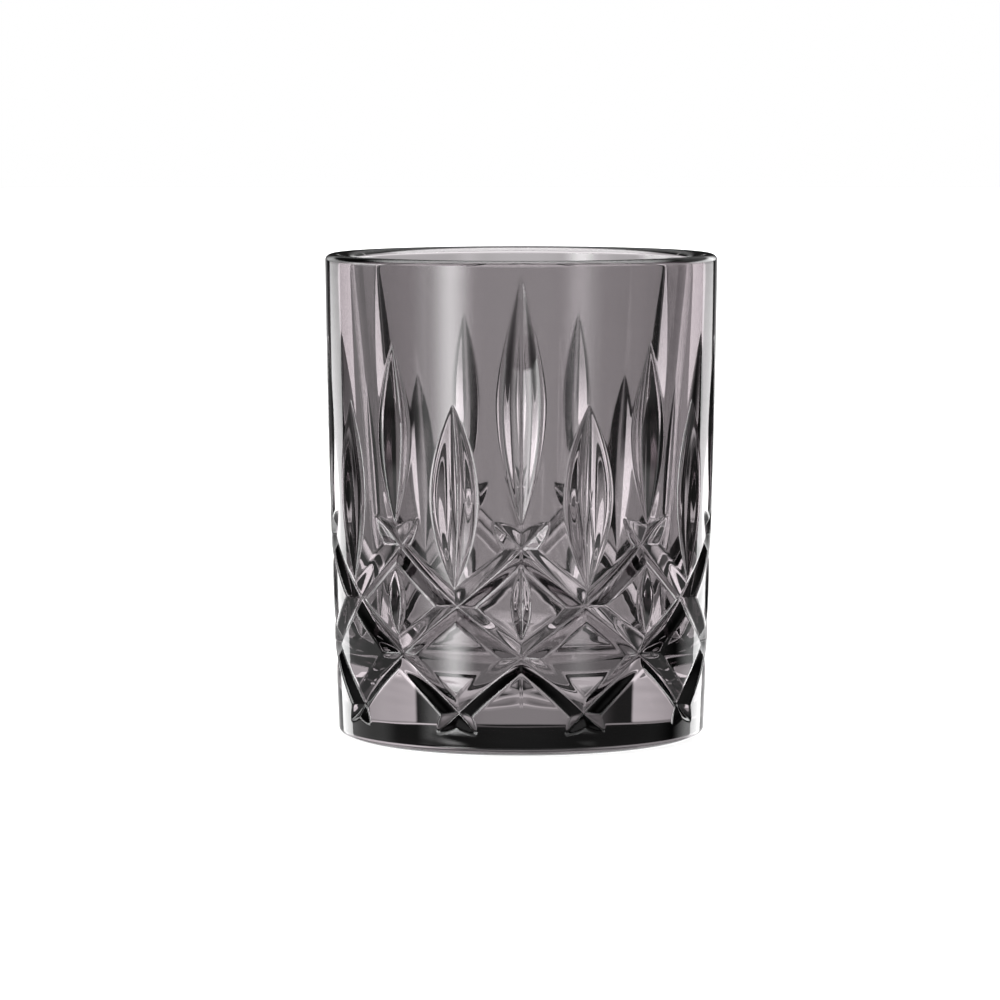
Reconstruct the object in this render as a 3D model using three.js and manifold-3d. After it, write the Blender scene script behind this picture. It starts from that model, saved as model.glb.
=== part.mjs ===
// Whiskey tumbler: one piece of pressed, smoke-tinted crystal glass.
// A nearly straight, very slightly barrelled wall rises from a rounded foot to
// a fire-polished rim. Eighteen tall leaf cuts stand round the wall, and below
// them two crossing sets of grooves make a diamond lattice down to the foot.
//
// Millimetres, +Z up. The origin is the centre of the plane the glass stands
// on. Angles are measured round +Z from the front, which faces -Y.

import * as THREE from "three";
import { mergeVertices } from "three/addons/utils/BufferGeometryUtils.js";
import Module from "manifold-3d";

// ---------------------------------------------------------------- dimensions
const HEIGHT = 98.0; // foot to rim crest

// Outer wall: r(z) = WALL_R0 + WALL_LEAN * z - WALL_BULGE * z^2
const WALL_R0 = 36.98;
const WALL_LEAN = 0.04388;
const WALL_BULGE = 0.0001688;

// Foot
const FOOT_R = 32.2; // outer edge of the flat ring that the glass stands on
const FOOT_INNER_R = 28.4; // inner edge of that ring
const FOOT_CORNER_H = 2.0; // height of the rounding from foot to wall
const RECESS = 0.6; // depth of the hollow under the base, at the centre

// Rim
const RIM_R = 38.08; // radius of the rim's crest
const RIM_OUTER_H = 1.7; // height of the outer lip rounding
const RIM_INNER_H = 2.0; // height of the inner lip rounding

// Inside
const BORE_TOP_R = 34.85; // inner wall radius just under the rim
const BORE_LOW_R = 29.2; // inner wall radius where the floor fillet starts
const FLOOR_Z = 13.8; // top of the solid base at the centre
const FLOOR_FILLET = 7.5;
const FLOOR_DISH = 1.15; // how far the floor sinks from its edge to its centre

// Leaf cuts: V-shaped and pointed at both ends. Each runs from low to high, is
// widest (half to each side of its keel) and deepest at widest, and narrows with
// the powers below and above of the distance from there.
const TALL = { low: 45.7, widest: 70.2, high: 95.7, half: 5.26, depth: 2.1, below: 2, above: 1.6 };
const MEDIUM = { low: 45.5, widest: 63.8, high: 82.1, half: 4.45, depth: 2.6, below: 2, above: 1.7 };
const SHORT = { low: 33.4, widest: 51.7, high: 70.0, half: 5.3, depth: 2.2, below: 2, above: 1.9 };
const SLIVER = { low: 23.5, widest: 30.5, high: 37.5, half: 2.2, depth: 1.3, below: 2, above: 2 };
const TALL_AT = [0, 120, 240];
const MEDIUM_AT = [40, 80, 160, 200, 280, 320];
const SHORT_AT = [20, 60, 100, 140, 180, 220, 260, 300, 340];
const SLIVER_AT = [0, 40, 80, 120, 160, 200, 240, 280, 320];

// Lattice: nine grooves fall to the left and nine to the right, 40 degrees
// apart. A groove passes these heights every 20 degrees of turn.
const CROSSINGS = [41.5, 29.9, 19.8, 8.7];
const LATTICE_LEAD = 8.5; // degrees a groove runs on before its first crossing
const LATTICE_TAIL = 6.5; // degrees it runs on after its last crossing
const LATTICE_RUNOUT = 7.5; // degrees over which each end rises out of the wall
const LATTICE_SLOPE = THREE.MathUtils.degToRad(31);
const LATTICE_DEPTH = 1.5;

const SEGMENTS = 54; // facets round the glass
const LEAF_STEPS = 8;
const GROOVE_STEPS = 11;
const PROUD = 1.0; // how far a cutter's open side stands clear of the wall

// ------------------------------------------------------------------- helpers
const wasm = await Module();
wasm.setup();

function solidFrom(geometry) {
  const bare = geometry.index ? geometry.toNonIndexed() : geometry.clone();
  bare.deleteAttribute("normal");
  bare.deleteAttribute("uv");
  const merged = mergeVertices(bare, 1e-4);
  const triVerts = new Uint32Array(merged.index.array);
  const build = () =>
    new wasm.Manifold(
      new wasm.Mesh({
        numProp: 3,
        vertProperties: new Float32Array(merged.attributes.position.array),
        triVerts,
      }),
    );
  let solid = build();
  if (solid.volume() < 0) {
    for (let i = 0; i < triVerts.length; i += 3) {
      [triVerts[i + 1], triVerts[i + 2]] = [triVerts[i + 2], triVerts[i + 1]];
    }
    solid = build();
  }
  return solid;
}

function geometryFrom(solid) {
  const mesh = solid.getMesh();
  const position = new Float32Array(mesh.numVert * 3);
  for (let i = 0; i < mesh.numVert; i++) {
    position.set(
      mesh.vertProperties.subarray(i * mesh.numProp, i * mesh.numProp + 3),
      i * 3,
    );
  }
  const geometry = new THREE.BufferGeometry();
  geometry.setAttribute("position", new THREE.BufferAttribute(position, 3));
  geometry.setIndex(new THREE.BufferAttribute(mesh.triVerts, 1));
  geometry.computeVertexNormals();
  return geometry;
}

const wallRadius = (z) => WALL_R0 + WALL_LEAN * z - WALL_BULGE * z * z;

// ---------------------------------------------------------------------- body
// Half section of the glass, from the axis under the base, out over the foot,
// up the wall, over the rim, down the bore and back to the axis on the floor.
function bodyProfile() {
  const points = [];
  const add = (r, z) => points.push(new THREE.Vector2(r, z));

  // Hollow under the base, then the flat ring.
  add(0, RECESS);
  add(FOOT_INNER_R * 0.55, RECESS * 0.82);
  add(FOOT_INNER_R * 0.85, RECESS * 0.42);
  add(FOOT_INNER_R, 0);
  add(FOOT_R, 0);

  // Rounded corner: a quarter ellipse that meets the wall at FOOT_CORNER_H.
  const cornerR = wallRadius(FOOT_CORNER_H);
  for (const a of [30, 60, 90]) {
    const t = THREE.MathUtils.degToRad(a);
    add(
      FOOT_R + (cornerR - FOOT_R) * Math.sin(t),
      FOOT_CORNER_H * (1 - Math.cos(t)),
    );
  }

  // Wall.
  for (const z of [25, 50, 75]) add(wallRadius(z), z);
  const lipZ = HEIGHT - RIM_OUTER_H;
  add(wallRadius(lipZ), lipZ);

  // Outer lip, crest, inner lip.
  for (const a of [30, 60, 90]) {
    const t = THREE.MathUtils.degToRad(a);
    add(
      RIM_R + (wallRadius(lipZ) - RIM_R) * Math.cos(t),
      lipZ + RIM_OUTER_H * Math.sin(t),
    );
  }
  for (const a of [60, 30, 0]) {
    const t = THREE.MathUtils.degToRad(a);
    add(
      RIM_R - (RIM_R - BORE_TOP_R) * Math.cos(t),
      HEIGHT - RIM_INNER_H + RIM_INNER_H * Math.sin(t),
    );
  }

  // Bore: a straight taper down to the floor fillet.
  const edgeZ = FLOOR_Z + FLOOR_DISH;
  const boreTop = HEIGHT - RIM_INNER_H;
  const boreLow = edgeZ + FLOOR_FILLET;
  add((BORE_TOP_R + BORE_LOW_R) / 2, (boreTop + boreLow) / 2);
  for (const a of [0, 30, 60, 90]) {
    const t = THREE.MathUtils.degToRad(a);
    add(
      BORE_LOW_R - FLOOR_FILLET * (1 - Math.cos(t)),
      edgeZ + FLOOR_FILLET * (1 - Math.sin(t)),
    );
  }
  add((BORE_LOW_R - FLOOR_FILLET) * 0.5, FLOOR_Z + FLOOR_DISH * 0.25);
  add(0, FLOOR_Z);
  return points;
}

const lathe = new THREE.LatheGeometry(bodyProfile(), SEGMENTS);
lathe.rotateX(Math.PI / 2); // the lathe's own axis is Y
lathe.rotateZ(Math.PI / SEGMENTS); // facets, not edges, under each leaf's keel

// ------------------------------------------------------------------- cutters
// A V-shaped cutter along a path on the wall. The section is a triangle with
// its keel at the bottom, swept from 0 to 1; each vertex is then carried into
// the frame of the wall at its place on the path.
//   place(t)  -> { angle (radians from the front), z }
//   depth(t)  -> how far the keel lies under the wall (negative: above it)
function grooveCutter(place, depth, slope, maxDepth, steps) {
  const tall = maxDepth + PROUD;
  const half = tall / Math.tan(slope);
  const section = new THREE.Shape();
  section.moveTo(0, 0);
  section.lineTo(half, tall);
  section.lineTo(-half, tall);
  section.closePath();
  const sweep = new THREE.ExtrudeGeometry(section, {
    depth: 1,
    steps,
    bevelEnabled: false,
  });

  const onWall = (t) => {
    const { angle, z } = place(t);
    const r = wallRadius(z);
    return new THREE.Vector3(r * Math.sin(angle), -r * Math.cos(angle), z);
  };
  const position = sweep.getAttribute("position");
  const v = new THREE.Vector3();
  for (let i = 0; i < position.count; i++) {
    v.fromBufferAttribute(position, i);
    const t = v.z;
    const { angle } = place(t);
    const out = new THREE.Vector3(Math.sin(angle), -Math.cos(angle), 0);
    const e = 1e-3;
    const along = onWall(Math.min(1, t + e))
      .sub(onWall(Math.max(0, t - e)))
      .normalize();
    const across = new THREE.Vector3().crossVectors(along, out).normalize();
    const point = onWall(t)
      .addScaledVector(out, v.y - depth(t))
      .addScaledVector(across, v.x);
    position.setXYZ(i, point.x, point.y, point.z);
  }
  return solidFrom(sweep);
}

// A leaf stands upright on the wall. Its keel is a shallow arc, so both ends
// run out to a point.
function leafCutter(leaf, degrees) {
  const angle = THREE.MathUtils.degToRad(degrees);
  const over = 0.04; // share of the leaf's height that the cutter runs past each point
  const height = leaf.high - leaf.low;
  const zAt = (t) => leaf.low + height * (t * (1 + 2 * over) - over);
  const sag = leaf.half ** 2 / (2 * wallRadius(leaf.widest)); // of the wall, over half
  return grooveCutter(
    (t) => ({ angle, z: zAt(t) }),
    (t) => {
      const z = zAt(t);
      const under = z < leaf.widest;
      const away = under
        ? (leaf.widest - z) / (leaf.widest - leaf.low)
        : (z - leaf.widest) / (leaf.high - leaf.widest);
      return leaf.depth * (1 - away ** (under ? leaf.below : leaf.above));
    },
    Math.atan((leaf.depth - sag) / leaf.half),
    leaf.depth,
    LEAF_STEPS,
  );
}

// A lattice groove winds down the wall through its four crossings.
const crossingCurve = new THREE.CatmullRomCurve3(
  CROSSINGS.map((z, i) => new THREE.Vector3(20 * i, z, 0)),
);
function latticeHeight(turn) {
  // turn: degrees past the first crossing; straight beyond both ends
  const first = (CROSSINGS[1] - CROSSINGS[0]) / 20;
  const last = (CROSSINGS[3] - CROSSINGS[2]) / 20;
  if (turn <= 0) return CROSSINGS[0] + first * turn;
  if (turn >= 60) return CROSSINGS[3] + last * (turn - 60);
  return crossingCurve.getPoint(turn / 60).y;
}
function latticeCutter(degrees, hand) {
  const from = -LATTICE_LEAD;
  const to = 60 + LATTICE_TAIL;
  const runout = LATTICE_RUNOUT;
  return grooveCutter(
    (t) => {
      const turn = from + (to - from) * t;
      return {
        angle: THREE.MathUtils.degToRad(degrees + hand * turn),
        z: latticeHeight(turn),
      };
    },
    (t) => {
      const turn = from + (to - from) * t;
      const near = Math.min(turn - from, to - turn);
      const k = Math.min(1, near / runout);
      return (LATTICE_DEPTH + 0.15) * (1 - (1 - k) ** 2) - 0.15;
    },
    LATTICE_SLOPE,
    LATTICE_DEPTH,
    GROOVE_STEPS,
  );
}

// --------------------------------------------------------------- the tumbler
let glass = solidFrom(lathe);
const cut = (cutter) => {
  glass = glass.subtract(cutter);
};
for (const d of SHORT_AT) cut(leafCutter(SHORT, d));
for (const d of MEDIUM_AT) cut(leafCutter(MEDIUM, d));
for (const d of TALL_AT) cut(leafCutter(TALL, d));
for (const d of SLIVER_AT) cut(leafCutter(SLIVER, d));
for (let k = 0; k < 9; k++) {
  cut(latticeCutter(40 * k, 1));
  cut(latticeCutter(40 * k, -1));
}

const smokedGlass = new THREE.MeshStandardMaterial({
  color: 0x8f8a8d,
  roughness: 0.03,
  metalness: 0,
  transparent: true,
  opacity: 0.35,
});

const tumblerGlass = new THREE.Mesh(geometryFrom(glass), smokedGlass);
tumblerGlass.name = "tumbler_glass";

const tumbler = new THREE.Group();
tumbler.name = "whiskey_tumbler";
tumbler.add(tumblerGlass);

export default tumbler;
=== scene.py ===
"""A pressed, smoke-tinted crystal whiskey tumbler on a pale table.

The CAD frame gives the size and place of the glass. This script makes its fine
surface: the CAD's wall, foot, bore and layout of cuts, as one dense closed mesh
with fire-polished edges, and clear glass with a smoke-coloured outer skin. The lip
is rounded tighter than the CAD's, the tall leaves are 0.1 mm shallower, and the
cuts have curved flanks.
"""

import math

import bpy
import numpy as np
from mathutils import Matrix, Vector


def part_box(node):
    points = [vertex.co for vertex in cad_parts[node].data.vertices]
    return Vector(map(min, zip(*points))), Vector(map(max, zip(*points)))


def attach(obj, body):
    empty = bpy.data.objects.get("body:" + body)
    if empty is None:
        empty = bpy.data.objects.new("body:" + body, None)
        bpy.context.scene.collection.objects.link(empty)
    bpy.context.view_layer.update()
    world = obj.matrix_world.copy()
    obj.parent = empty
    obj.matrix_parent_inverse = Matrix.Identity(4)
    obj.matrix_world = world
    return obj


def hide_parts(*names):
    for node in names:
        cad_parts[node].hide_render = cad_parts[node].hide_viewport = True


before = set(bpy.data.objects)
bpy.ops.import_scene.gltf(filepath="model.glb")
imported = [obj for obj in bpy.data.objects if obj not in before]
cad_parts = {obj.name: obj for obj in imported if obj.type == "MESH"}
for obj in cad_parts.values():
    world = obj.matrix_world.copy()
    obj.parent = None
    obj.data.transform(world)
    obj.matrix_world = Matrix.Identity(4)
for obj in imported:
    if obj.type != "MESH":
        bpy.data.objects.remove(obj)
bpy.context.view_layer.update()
low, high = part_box("tumbler_glass")

# ------------------------------------------------------------ glass dimensions
# Millimetres, in the CAD frame. Angles from the front (-Y), in degrees.
HEIGHT = high.z * 1000
WALL = (36.98, 0.04388, 0.0001688)  # r = a + b z - c z^2
FOOT_R, FOOT_INNER_R, FOOT_CORNER_H, RECESS = 32.2, 28.4, 2.0, 0.6
RIM_R, RIM_OUTER_H, RIM_INNER_H = 38.08, 1.3, 1.5  # a little tighter than the CAD lip
BORE_TOP_R, BORE_LOW_R = 34.85, 29.2
FLOOR_Z, FLOOR_FILLET, FLOOR_DISH = 13.8, 7.5, 1.15

# A leaf: bottom, widest height, top, half width, depth, outline powers below and
# above the widest height (2 is a parabola, lower is more pointed), flank shape.
TALL = (45.7, 70.2, 95.7, 5.26, 2.0, 2.0, 1.6, "FLANK_TALL")
MEDIUM = (45.5, 63.8, 82.1, 4.45, 2.6, 2.0, 1.7, "FLANK_MEDIUM")
SHORT = (33.4, 51.7, 70.0, 5.3, 2.2, 2.0, 1.9, "FLANK_LOW")
SLIVER = (23.5, 30.5, 37.5, 2.2, 1.3, 2.0, 2.0, "FLANK_LOW")
LEAF_FADE = 1.17  # how fast a leaf's depth falls with its width towards its points
# Slope across a flank, as a share of its steepest, at FLANK_AT from keel to edge.
FLANK_AT = (0.0, 0.3, 0.5, 0.65, 0.8, 1.0)
FLANK_TALL = (0.5, 0.6, 1.0, 0.85, 0.5, 0.05)
FLANK_MEDIUM = (0.2, 0.9, 1.0, 0.7, 0.35, 0.0)
FLANK_LOW = (0.2, 0.75, 0.95, 0.9, 0.6, 0.0)
LEAVES = (
    [(TALL, a) for a in (0, 120, 240)]
    + [(MEDIUM, a) for a in (40, 80, 160, 200, 280, 320)]
    + [(SHORT, a) for a in range(20, 360, 40)]
    + [(SLIVER, a) for a in range(0, 360, 40)]
)
CROSSINGS = (41.5, 29.9, 19.8, 8.7)
LATTICE_LEAD, LATTICE_TAIL, LATTICE_RUNOUT = 8.5, 6.5, 7.5
LATTICE_SLOPE, LATTICE_DEPTH = math.tan(math.radians(31)), 1.5
FLANK_LATTICE = (0.8, 0.95, 1.05, 1.1, 1.0, 0.7)  # as for the leaves

KEEL = 0.2  # how softly the bottom of a cut turns
EDGE = 0.24  # how softly the wall turns into a groove
LEAF_EDGE = 0.01  # how softly the wall turns into a leaf

RIPPLE_HIGH, RIPPLE_LOW, RIPPLE_FLOOR, RIPPLE_UNDER = 0.002, 0.007, 0.02, 0.01

COLUMNS = 1260
SKIN_UNDER = True  # the smoked skin covers the underside too


def wall_r(z):
    a, b, c = WALL
    return a + b * z - c * z * z


def smooth_min(a, b, k):
    h = np.clip(k - np.abs(a - b), 0, None) / k
    return np.minimum(a, b) - h * h * k / 4


def wrap(degrees):
    return (degrees + 180.0) % 360.0 - 180.0


def flank_shape(slopes):
    """Depth across a flank at 401 places from keel (1) to edge (0), and how fast it
    goes on rising past the edge."""
    t = np.linspace(0, 1, 401)
    f = np.interp(t, FLANK_AT, slopes)
    depth = np.concatenate([np.cumsum(f[::-1])[::-1][1:], [0.0]])
    return t, depth / depth[0], max(f[-1], 0.02) * 400 / depth[0]


FLANKS = {
    "FLANK_TALL": flank_shape(FLANK_TALL),
    "FLANK_MEDIUM": flank_shape(FLANK_MEDIUM),
    "FLANK_LOW": flank_shape(FLANK_LOW),
    "FLANK_LATTICE": flank_shape(FLANK_LATTICE),
}


def leaf_radius(leaf, at, theta, z):
    """Radius of the two flanks of an upright leaf cut, where they would be cut."""
    lo, mid, hi, half, deepest, below, above, flank = leaf
    flank_t, flank_depth, rise = FLANKS[flank]
    s = np.where(z < mid, (mid - z) / (mid - lo), (z - mid) / (hi - mid))
    power = np.where(z < mid, below, above)
    share = 1 - np.clip(s, 0, None) ** power
    w = half * np.clip(share, 0.02, None)
    depth = deepest * np.clip(share, 0.0, None) ** LEAF_FADE
    u = np.radians(wrap(theta - at)) * wall_r(z)
    t = np.sqrt(u**2 + (KEEL * 0.4) ** 2) / w
    inside = depth * np.interp(t, flank_t, flank_depth)
    past = np.clip(t - 1, 0, None) * rise * depth
    beyond = np.clip(-share, 0, None) * deepest * 1.2
    return wall_r(z) - inside + past + beyond


def lattice_height(turn):
    xs = np.array([0.0, 20.0, 40.0, 60.0])
    ys = np.array(CROSSINGS)
    coeff = np.polyfit(xs, ys, 3)
    inside = np.polyval(coeff, np.clip(turn, 0, 60))
    slope0 = np.polyval(np.polyder(coeff), 0.0)
    slope1 = np.polyval(np.polyder(coeff), 60.0)
    return (
        inside
        + slope0 * np.clip(turn, None, 0)
        + slope1 * np.clip(turn - 60, 0, None)
    )


def lattice_radius(at, hand, theta, z):
    """Radius of the two flanks of a winding lattice groove."""
    turn = hand * wrap(theta - at)
    # The stretch of turn that matters runs from -15 to 75, so unwrap there.
    turn = np.where(turn < -100, turn + 360, turn)
    R = wall_r(z)
    per_degree = R * math.pi / 180
    slope = (lattice_height(turn + 0.5) - lattice_height(turn - 0.5)) / per_degree
    gamma = np.arctan(-slope)
    dz = z - lattice_height(turn)
    foot = turn - dz * np.sin(gamma) * np.cos(gamma) / per_degree
    off = dz * np.cos(gamma)
    first, last = -LATTICE_LEAD, 60 + LATTICE_TAIL
    near = np.minimum(foot - first, last - foot)
    k = np.clip(near / LATTICE_RUNOUT, -1, 1)
    depth = (LATTICE_DEPTH + 0.15) * (1 - (1 - k) ** 2) - 0.15
    wide = np.sqrt(off**2 + KEEL**2) - KEEL * 0.35
    flank_t, flank_depth, _ = FLANKS["FLANK_LATTICE"]
    t = wide * LATTICE_SLOPE / LATTICE_DEPTH
    rise = LATTICE_DEPTH * (1 - np.interp(t, flank_t, flank_depth) + np.clip(t - 1, 0, None))
    r = R - depth + rise + (off * np.sin(gamma)) ** 2 / (2 * R)
    return np.where((near > -2) & (np.abs(off) < 9), r, 1e3)


def cut_wall(base, theta, z):
    """The wall's radius after every cut, for arrays of base radius, angle and height."""
    r = base.copy()
    zs = z[:, 0]
    for leaf, at in LEAVES:
        rows = (zs > leaf[0] - 1) & (zs < leaf[2] + 1)
        cols = np.abs(wrap(theta[0] - at)) < 14
        part = np.ix_(rows, cols)
        r[part] = smooth_min(
            r[part], leaf_radius(leaf, at, theta[part], z[part]), LEAF_EDGE
        )
    for k in range(9):
        for hand in (1, -1):
            rows = zs < 56
            turn = hand * wrap(theta[0] - 40 * k)
            cols = (turn > -22) & (turn < 80)
            part = np.ix_(rows, cols)
            r[part] = smooth_min(
                r[part], lattice_radius(40 * k, hand, theta[part], z[part]), EDGE
            )
    # The three-part mould leaves a faint upright seam at each tall leaf.
    for at in (0, 120, 240):
        u = np.radians(wrap(theta - at)) * 39
        r += 0.018 * np.exp(-((u / 0.16) ** 2)) * np.clip((95.5 - z) / 3, 0, 1)
    return r


def ripple(theta, along, seed):
    """Gentle waviness of pressed glass, -1 to 1, at angles and millimetres along."""
    a = np.radians(theta)
    return (
        np.sin(3 * a + 0.8 * along + seed)
        + 0.7 * np.sin(8 * a - 1.7 * along + 2 * seed)
        + 0.5 * np.sin(17 * a + 2.9 * along + 3 * seed)
    ) / 2.2


# -------------------------------------------------------------------- profile
def arc(n, f, start=False):
    """n points of f over (0, 1], or [0, 1] with start."""
    ts = np.linspace(0, 1, n + 1)
    return [f(t) for t in (ts if start else ts[1:])]


def profile():
    """Half section as (r, z, is it the cut wall), from the axis under the base to
    the axis on the floor."""
    pts = []
    # Hollow under the base: a shallow dome that meets the ring in a soft edge.
    under = 2 if SKIN_UNDER else 0
    pts += [(0.0, RECESS, under)]
    for r in np.linspace(0.6, FOOT_INNER_R - 1.2, 26):
        pts.append((r, RECESS * (1 - (r / FOOT_INNER_R) ** 2), under))
    for r in (FOOT_INNER_R - 0.7, FOOT_INNER_R - 0.2):
        pts.append((r, RECESS * (1 - (r / FOOT_INNER_R) ** 2) * 0.7, under))
    pts += [(r, 0.0, under) for r in np.linspace(FOOT_INNER_R + 0.6, FOOT_R, 9)]
    corner = wall_r(FOOT_CORNER_H)
    pts += arc(
        14,
        lambda t: (
            FOOT_R + (corner - FOOT_R) * math.sin(t * math.pi / 2),
            FOOT_CORNER_H * (1 - math.cos(t * math.pi / 2)),
            1,
        ),
    )
    lip = HEIGHT - RIM_OUTER_H
    z, rows = FOOT_CORNER_H, []
    while z < lip - 0.3:
        z += 0.22 if z < 47 else 0.4
        rows.append(z)
    scale = (lip - FOOT_CORNER_H) / (rows[-1] - FOOT_CORNER_H)
    pts += [
        (wall_r(v), v, 1) for v in (FOOT_CORNER_H + (q - FOOT_CORNER_H) * scale for q in rows)
    ]
    edge = wall_r(lip)
    pts += arc(
        14,
        lambda t: (
            RIM_R + (edge - RIM_R) * math.cos(t * math.pi / 2),
            lip + RIM_OUTER_H * math.sin(t * math.pi / 2),
            2,
        ),
    )
    pts += arc(
        16,
        lambda t: (
            RIM_R - (RIM_R - BORE_TOP_R) * math.sin(t * math.pi / 2),
            HEIGHT - RIM_INNER_H * (1 - math.cos(t * math.pi / 2)),
            0,
        ),
    )
    top, bottom = HEIGHT - RIM_INNER_H, FLOOR_Z + FLOOR_DISH + FLOOR_FILLET
    pts += arc(
        30,
        lambda t: (
            BORE_TOP_R + (BORE_LOW_R - BORE_TOP_R) * t,
            top + (bottom - top) * t,
            0,
        ),
    )
    pts += arc(
        18,
        lambda t: (
            BORE_LOW_R - FLOOR_FILLET * (1 - math.cos(t * math.pi / 2)),
            bottom - FLOOR_FILLET * math.sin(t * math.pi / 2),
            0,
        ),
    )
    edge_r = BORE_LOW_R - FLOOR_FILLET
    for r in np.linspace(edge_r, 0.6, 24)[1:]:
        pts.append((r, FLOOR_Z + FLOOR_DISH * (r / edge_r) ** 2, 0))
    pts.append((0.0, FLOOR_Z, 0))
    return pts


def glass_mesh(name):
    pts = profile()
    rings = np.array([(r, z) for r, z, _ in pts[1:-1]])
    is_wall = np.array([w == 1 for _, _, w in pts[1:-1]], bool)
    skin = np.array([w != 0 for _, _, w in pts[1:-1]], bool)
    n, m = len(rings), COLUMNS
    theta = np.arange(m) * 360.0 / m
    T, Z = np.meshgrid(theta, rings[:, 1])
    R = np.repeat(rings[:, :1], m, 1)
    R[is_wall] = cut_wall(R[is_wall], T[is_wall], Z[is_wall])
    # Waviness: least high on the wall, more among the cuts and in the thick base.
    first, last = np.flatnonzero(is_wall)[[0, -1]]
    low_wall = np.clip((36 - Z[is_wall]) / 8, 0, 1) * np.clip((Z[is_wall] - 9) / 5, 0, 1)
    R[is_wall] += (RIPPLE_HIGH + RIPPLE_LOW * low_wall) * ripple(T[is_wall], Z[is_wall], 0.4)
    bore = np.arange(n) > last + 30
    fade = np.clip(R[bore] / 6, 0, 1)
    Z[bore] += RIPPLE_FLOOR * fade * ripple(T[bore], R[bore], 1.3)
    under = np.arange(n) < first - 12
    Z[under] += RIPPLE_UNDER * np.clip(R[under] / 6, 0, 1) * ripple(T[under], R[under], 2.2)

    # Cell centres, to pick each cell's better diagonal.
    Tc, Zc = np.meshgrid(theta + 180.0 / m, (rings[1:, 1] + rings[:-1, 1]) / 2)
    Rc = np.repeat((rings[1:, :1] + rings[:-1, :1]) / 2, m, 1)
    both = is_wall[1:] & is_wall[:-1]
    Rc[both] = cut_wall(Rc[both], Tc[both], Zc[both])

    a = np.radians(T)
    co = np.stack([R * np.sin(a), -R * np.cos(a), Z], -1).reshape(-1, 3)
    bottom_pole = np.array([[0, 0, pts[0][1]]])
    top_pole = np.array([[0, 0, pts[-1][1]]])
    co = np.concatenate([co, bottom_pole, top_pole]) / 1000.0

    i, j = np.meshgrid(np.arange(n - 1), np.arange(m), indexing="ij")
    j2 = (j + 1) % m
    v00, v01 = i * m + j, i * m + j2
    v10, v11 = (i + 1) * m + j, (i + 1) * m + j2
    r = R.reshape(-1)
    down = np.abs((r[v00] + r[v11]) / 2 - Rc) <= np.abs((r[v01] + r[v10]) / 2 - Rc)
    t1 = np.where(down[..., None], np.stack([v00, v01, v11], -1), np.stack([v00, v01, v10], -1))
    t2 = np.where(down[..., None], np.stack([v00, v11, v10], -1), np.stack([v01, v11, v10], -1))
    cap = np.arange(m)
    cap2 = (cap + 1) % m
    pole0, pole1 = n * m, n * m + 1
    fan0 = np.stack([np.full(m, pole0), cap2, cap], -1)
    fan1 = np.stack([np.full(m, pole1), (n - 1) * m + cap, (n - 1) * m + cap2], -1)
    tris = np.concatenate([t1.reshape(-1, 3), t2.reshape(-1, 3), fan0, fan1]).astype(np.int32)

    mesh = bpy.data.meshes.new(name)
    mesh.vertices.add(len(co))
    mesh.vertices.foreach_set("co", co.astype(np.float32).ravel())
    mesh.loops.add(len(tris) * 3)
    mesh.loops.foreach_set("vertex_index", tris.ravel())
    mesh.polygons.add(len(tris))
    mesh.polygons.foreach_set("loop_start", np.arange(len(tris), dtype=np.int32) * 3)
    mesh.polygons.foreach_set("use_smooth", np.ones(len(tris), bool))
    slot = np.repeat(np.where(skin[1:] & skin[:-1], 0, 1), m).astype(np.int32)
    slot = np.concatenate([slot, slot, np.full(m, 0 if skin[0] else 1), np.full(m, 1)])
    mesh.polygons.foreach_set("material_index", slot.astype(np.int32))
    mesh.update(calc_edges=True)
    mesh.validate()
    return mesh


# -------------------------------------------------------------------- material
IOR = 1.55
TINT = (0.483, 0.459, 0.470)  # what one pass through the smoked outer skin lets by


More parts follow.
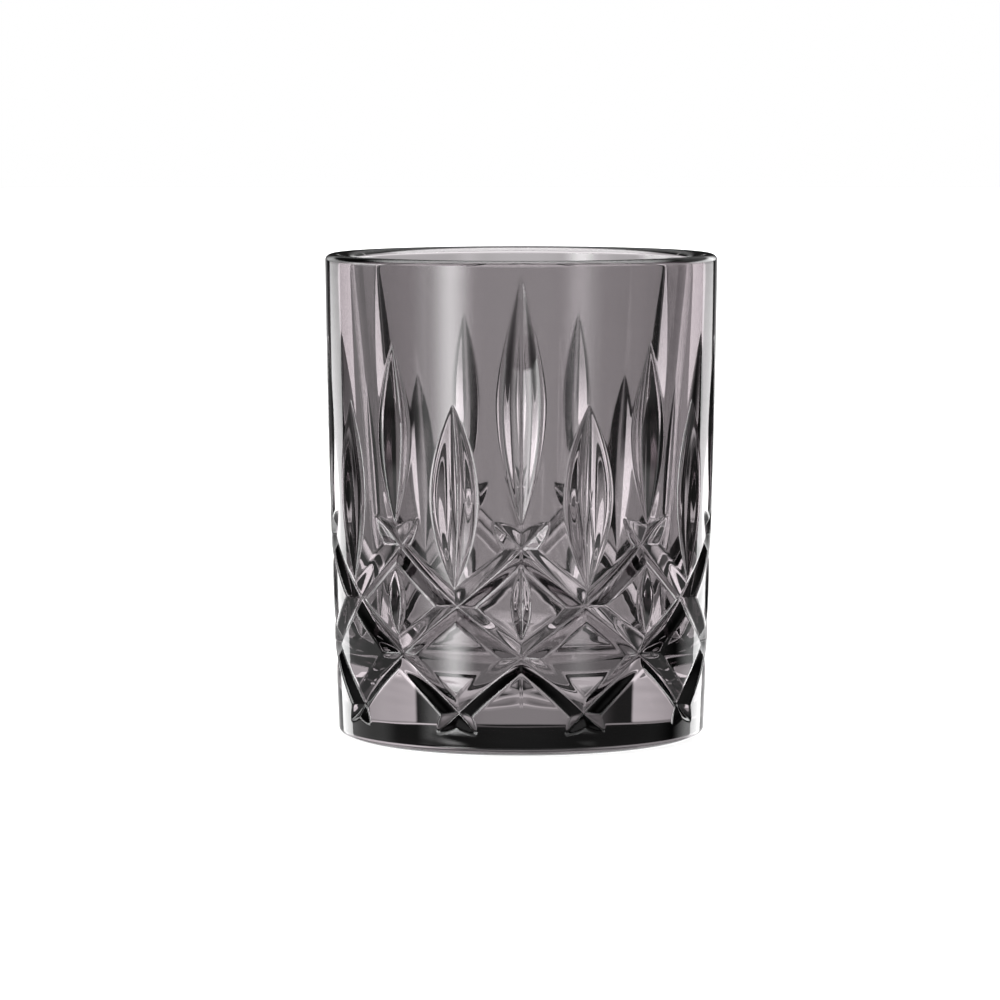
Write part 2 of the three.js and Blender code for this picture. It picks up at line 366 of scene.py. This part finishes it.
def coated_glass():
    """Clear glass with a thin smoke-coloured skin on its outside. Light that
    crosses the skin is tinted once, and light that it turns back inside, twice. The
    tint deepens as the light's way through the skin gets longer."""
    mat = bpy.data.materials.new("smoked_glass")
    mat.use_nodes = True
    nt = mat.node_tree
    nt.nodes.clear()
    new, link = nt.nodes.new, nt.links.new

    def math_node(op, a, b=None):
        node = new("ShaderNodeMath")
        node.operation = op
        for socket, v in zip(node.inputs, (a, b)):
            if isinstance(v, (int, float)):
                socket.default_value = v
            elif v is not None:
                link(v, socket)
        return node.outputs[0]

    out = new("ShaderNodeOutputMaterial")
    tint = new("ShaderNodeRGB")
    tint.name = "tint"
    tint.outputs[0].default_value = (*TINT, 1)
    geo = new("ShaderNodeNewGeometry")
    facing = new("ShaderNodeLayerWeight")
    facing.inputs["Blend"].default_value = 0.5
    # Cosine of the ray on its own side of the surface, then inside the glass.
    cos_here = math_node("SUBTRACT", 1.0, facing.outputs["Facing"])
    sin2 = math_node("SUBTRACT", 1.0, math_node("MULTIPLY", cos_here, cos_here))
    inside = new("ShaderNodeMix")
    inside.data_type = "FLOAT"
    link(geo.outputs["Backfacing"], inside.inputs["Factor"])
    inside.inputs[2].default_value = 1 / IOR**2
    inside.inputs[3].default_value = 1.0
    sin2 = math_node("MULTIPLY", sin2, inside.outputs[0])
    cos_in = math_node("SQRT", math_node("MAXIMUM", math_node("SUBTRACT", 1.0, sin2), 0.06))
    way = math_node("DIVIDE", 1.0, cos_in)

    def deepen(times):
        channels = new("ShaderNodeSeparateColor")
        link(tint.outputs[0], channels.inputs[0])
        joined = new("ShaderNodeCombineColor")
        power = math_node("MULTIPLY", way, times)
        for k in range(3):
            link(math_node("POWER", channels.outputs[k], power), joined.inputs[k])
        return joined.outputs[0]

    fresnel = new("ShaderNodeFresnel")
    fresnel.inputs["IOR"].default_value = IOR
    bend = new("ShaderNodeBsdfRefraction")
    bend.inputs["IOR"].default_value = IOR
    bend.inputs["Roughness"].default_value = 0.0
    link(deepen(1.0), bend.inputs["Color"])
    side = new("ShaderNodeMix")
    side.data_type = "RGBA"
    link(geo.outputs["Backfacing"], side.inputs["Factor"])
    side.inputs[6].default_value = (1, 1, 1, 1)
    link(deepen(2.0), side.inputs[7])
    mirror = new("ShaderNodeBsdfGlossy")
    mirror.inputs["Roughness"].default_value = 0.0
    link(side.outputs[2], mirror.inputs["Color"])
    mix = new("ShaderNodeMixShader")
    link(fresnel.outputs[0], mix.inputs[0])
    link(bend.outputs[0], mix.inputs[1])
    link(mirror.outputs[0], mix.inputs[2])
    link(mix.outputs[0], out.inputs["Surface"])
    return mat


def clear_glass():
    mat = bpy.data.materials.new("clear_glass")
    mat.use_nodes = True
    glass = mat.node_tree.nodes["Principled BSDF"]
    glass.inputs["Base Color"].default_value = (1, 1, 1, 1)
    glass.inputs["Roughness"].default_value = 0.0
    glass.inputs["IOR"].default_value = IOR
    glass.inputs["Transmission Weight"].default_value = 1.0
    return mat


tumbler = bpy.data.objects.new("tumbler", glass_mesh("tumbler"))
bpy.context.scene.collection.objects.link(tumbler)
tumbler.data.materials.append(coated_glass())
tumbler.data.materials.append(clear_glass())
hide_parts("tumbler_glass")
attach(tumbler, "root")

# ----------------------------------------------------------------------- table
floor_mesh = bpy.data.meshes.new("table")
S = 4.0
floor_mesh.from_pydata(
    [(-S, -S, 0), (S, -S, 0), (S, S, 0), (-S, S, 0)], [], [(0, 1, 2, 3)]
)
floor = bpy.data.objects.new("table", floor_mesh)
floor.location.z = -0.0001
bpy.context.scene.collection.objects.link(floor)
fm = bpy.data.materials.new("table_white")
fm.use_nodes = True
p = fm.node_tree.nodes["Principled BSDF"]
p.inputs["Base Color"].default_value = (0.8, 0.8, 0.8, 1)
p.inputs["Roughness"].default_value = 0.9
p.inputs["Emission Color"].default_value = (1, 1, 1, 1)
p.inputs["Emission Strength"].default_value = 0.85
floor_mesh.materials.append(fm)
# Rays from the glass pass the table by and meet the studio light coded below, so
# the glass neither shows nor mirrors the table. The camera sees it as it is.
floor.visible_transmission = False
floor.visible_glossy = False

# --------------------------------------------------------------------- studio
# Soft panels around the glass in an otherwise dim room: (brightness, compass
# middle, half width, soft edge, lowest, highest, soft edge), degrees. Compass 0 is
# straight behind the glass, 90 to its right, 180 towards the camera.
DIM = 0.02
PANELS = [
    # Low sheet behind the glass, in bands from the table up.
    (0.7, 0, 20, 10, -62, -24, 4),
    (1.6, 0, 15, 8, -24, -13, 2),
    (1.05, 0, 15, 8, -13, -4.2, 2),
    (0.65, 0, 15, 8, -4.2, 0.6, 1.3),
    (0.3, 0, 15, 8, 14, 40, 5),
    # Brighter strips with sharp sides to the right and left of it.
    (2.9, 35.5, 10, 0.6, -16, -4, 2),
    (1.2, 35.5, 10, 0.6, -4, 0.6, 1.2),
    (3.2, -37, 9.5, 0.6, -16, -4, 2),
    (1.2, -37, 9.5, 0.6, -4, 0.6, 1.2),
    # Their glow on the table and on the wall above.
    (1.5, 38, 22, 10, -24, -8, 3),
    (0.8, -38, 22, 10, -24, -8, 3),
    (3.0, 38, 22, 10, 2, 16, 3),
    (1.2, -38, 22, 10, 2, 16, 3),
    (0.25, 38, 22, 10, 16, 35, 4),
    # Large soft box, front left, its dim outer edge, and its light on the table.
    (7.6, -138, 7.5, 8, -11.8, 24, 0.3),
    (1.6, -122, 4, 8, -11.8, 24, 0.3),
    (5.0, -138, 9, 8, -28, -15, 2),
    # Narrow soft box, front right, and small ones at the left.
    (1.5, 143.5, 6.5, 8, -11.8, 24, 0.3),
    (0.5, -75, 14, 8, -20, 0, 3),
    (4.0, -75, 14, 8, 0, 16, 3),
    # Pale room behind the camera, and the ceiling behind and before the glass.
    (0.15, 180, 22, 14, -12, 5, 3),
    (1.05, 180, 22, 14, 5, 20, 3),
    (3.0, 0, 90, 10, 42, 92, 6),
    (0.4, 180, 90, 10, 42, 92, 6),
    # Even light all round: from the table, and from the room on the near side.
    (0.5, 0, 200, 1, -92, -17, 4),
    (0.15, 180, 100, 12, -17, 30, 6),
]

def studio(panels, dim):
    """A world with the panels' light for the glass and plain white behind it."""
    world = bpy.data.worlds.new("studio")
    world.use_nodes = True
    wn = world.node_tree
    wn.nodes.clear()

    def calc(op, a, b=None, c=None):
        node = wn.nodes.new("ShaderNodeMath")
        node.operation = op
        for socket, v in zip(node.inputs, (a, b, c)):
            if isinstance(v, (int, float)):
                socket.default_value = v
            elif v is not None:
                wn.links.new(v, socket)
        return node.outputs[0]

    def soft_step(x, edge, soft):
        """0 below edge, 1 above it, over a band soft wide on each side of it."""
        node = wn.nodes.new("ShaderNodeMapRange")
        node.interpolation_type = "SMOOTHSTEP"
        wn.links.new(x, node.inputs[0])
        node.inputs[1].default_value = edge - soft
        node.inputs[2].default_value = edge + soft
        return node.outputs[0]

    coord = wn.nodes.new("ShaderNodeTexCoord")
    split = wn.nodes.new("ShaderNodeSeparateXYZ")
    wn.links.new(coord.outputs["Generated"], split.inputs[0])
    deg = 180 / math.pi
    compass = calc("MULTIPLY", calc("ARCTAN2", split.outputs[0], split.outputs[1]), deg)
    height = calc("MULTIPLY", calc("ARCSINE", split.outputs[2]), deg)
    light = None
    for strength, middle, half, soft, lowest, highest, soft_up in panels:
        turn = calc("WRAP", calc("SUBTRACT", compass, middle), 180.0, -180.0)
        across = calc("SUBTRACT", 1.0, soft_step(calc("ABSOLUTE", turn), half, soft))
        up = calc(
            "MULTIPLY",
            soft_step(height, lowest, soft_up),
            calc("SUBTRACT", 1.0, soft_step(height, highest, soft_up)),
        )
        lobe = calc("MULTIPLY", calc("MULTIPLY", across, up), strength)
        light = lobe if light is None else calc("ADD", light, lobe)
    lights = wn.nodes.new("ShaderNodeBackground")
    wn.links.new(calc("ADD", light, dim), lights.inputs["Strength"])
    lights.inputs["Color"].default_value = (1, 1, 1, 1)
    plain = wn.nodes.new("ShaderNodeBackground")
    plain.inputs["Color"].default_value = (1, 1, 1, 1)
    seen = wn.nodes.new("ShaderNodeLightPath")
    pick = wn.nodes.new("ShaderNodeMixShader")
    wn.links.new(seen.outputs["Is Camera Ray"], pick.inputs[0])
    wn.links.new(lights.outputs[0], pick.inputs[1])
    wn.links.new(plain.outputs[0], pick.inputs[2])
    wout = wn.nodes.new("ShaderNodeOutputWorld")
    wn.links.new(pick.outputs[0], wout.inputs["Surface"])
    return world


bpy.context.scene.world = studio(PANELS, DIM)
bpy.context.scene.world.cycles.sampling_method = "NONE"  # the glass finds the panels itself

# --------------------------------------------------------------------- camera
PHI = math.radians(4.853)
cam_data = bpy.data.cameras.new("camera")
cam_data.sensor_width = 36
cam_data.lens = 5369.26 / 1000 * 36
cam_data.shift_x = -0.0212
cam_data.shift_y = -0.00513
cam_data.clip_end = 50
cam = bpy.data.objects.new("camera", cam_data)
cam.location = (0, -1.08528, 0.14114)
cam.rotation_euler = (math.pi / 2 - PHI, 0, 0)
bpy.context.scene.collection.objects.link(cam)
bpy.context.scene.camera = cam

scene = bpy.context.scene
scene.view_settings.view_transform = "Standard"
scene.view_settings.look = "None"
scene.cycles.max_bounces = 32
scene.cycles.transmission_bounces = 32
scene.cycles.glossy_bounces = 32
scene.cycles.transparent_max_bounces = 32
